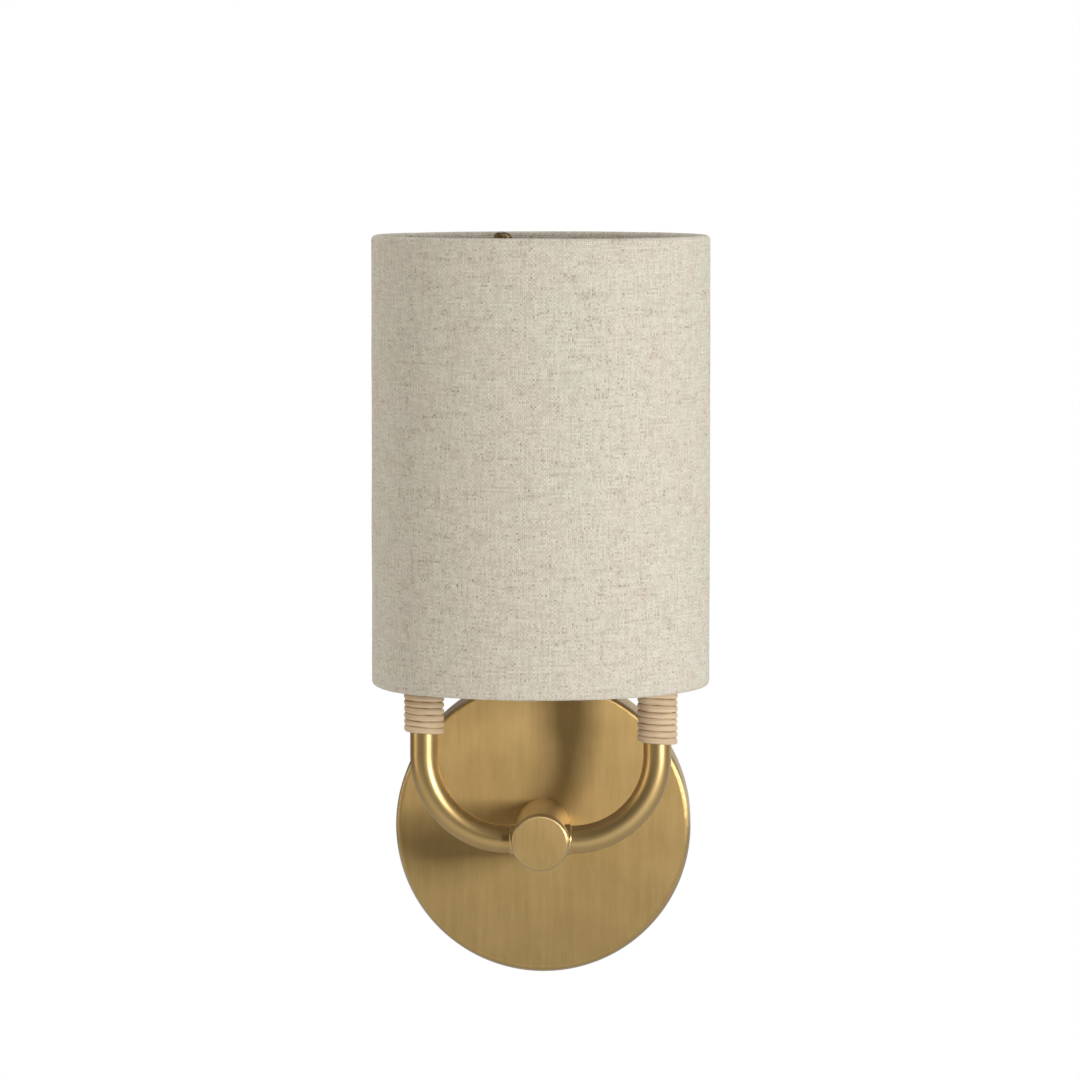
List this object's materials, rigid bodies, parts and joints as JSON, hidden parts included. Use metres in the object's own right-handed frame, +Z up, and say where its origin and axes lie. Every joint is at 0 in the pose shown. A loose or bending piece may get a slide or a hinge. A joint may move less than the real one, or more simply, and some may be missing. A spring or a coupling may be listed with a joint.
{
  "type": "wall sconce",
  "caption": "Wall sconce with a round brass backplate and stem, a U of brass tube bound with rattan reed, and a linen drum shade over a screw-base bulb.",
  "frame": {"origin": "middle of the backplate, on the wall, on the stem's axis", "axes": "+Y into the wall, the room is towards -Y; +Z up; +X to the right as seen from the room"},
  "size_m": [0.1334, 0.1387, 0.2995],
  "materials": {
    "zinc_steel": "zinc plated",
    "green_screw": "green dyed",
    "satin_brass": "satin, finely brushed",
    "rattan": "natural reed",
    "black_phenolic": "moulded",
    "white_block": "glazed white",
    "contact_brass": "bare",
    "nickel_cap": "nickel plated",
    "clear_glass": "clear",
    "filament": "phosphor coat",
    "linen": "plain woven oatmeal linen",
    "styrene_liner": "matt",
    "brass_wire": "plated wire"
  },
  "bodies": {
    "fixture": {"wall_bracket": "zinc_steel", "stem_nipple": "zinc_steel", "stem_washer": "zinc_steel", "stem_locknut": "zinc_steel", "arm_end_plugs": "zinc_steel", "yoke_washers": "zinc_steel", "yoke_nuts": "zinc_steel", "socket_nipple": "zinc_steel", "socket_locknut": "zinc_steel", "ground_screw": "green_screw", "backplate": "satin_brass", "backplate_screws": "satin_brass", "stem": "satin_brass", "stem_cap": "satin_brass", "left_arm": "satin_brass", "right_arm": "satin_brass", "arm_collars": "satin_brass", "yoke": "satin_brass", "left_rattan_wrap": "rattan", "right_rattan_wrap": "rattan", "socket_cup": "black_phenolic", "socket_body": "black_phenolic", "socket_block": "white_block", "socket_terminal_screws": "contact_brass", "socket_screw_shell": "contact_brass", "socket_contact": "contact_brass"},
    "shade_hold": {"shade_retaining_ring": "black_phenolic"},
    "shade": {"shade_linen": "linen", "shade_liner": "styrene_liner", "shade_top_ring": "brass_wire", "shade_bottom_ring": "brass_wire", "shade_spokes": "brass_wire", "shade_fitter_ring": "brass_wire"},
    "bulb_tip": {"bulb_contact": "contact_brass"},
    "bulb": {"bulb_cap": "nickel_cap", "bulb_insulator": "white_block", "bulb_glass": "clear_glass", "bulb_stem": "clear_glass", "bulb_filaments": "filament"}
  },
  "joints": [
    {"name": "shade_lift", "type": "slide", "parent": "fixture", "child": "shade_hold", "axis": [0, 0, 1], "range_m": [0, 0.165]},
    {"name": "shade_turn", "type": "hinge", "parent": "shade_hold", "child": "shade", "pos_m": [0, -0.072, 0.127], "axis": [0, 0, 1], "continuous": true},
    {"name": "bulb_rise", "type": "slide", "parent": "fixture", "child": "bulb_tip", "axis": [0, 0, 1], "range_m": [0, 0.01815]},
    {"name": "bulb_turn", "type": "hinge", "parent": "bulb_tip", "child": "bulb", "pos_m": [0, -0.072, 0.13], "axis": [0, 0, 1], "range_deg": [0, 1800]}
  ],
  "couplings": [
    {"joint": "bulb_rise", "follows": "bulb_turn", "m_per_rad": 0.00057757}
  ]
}
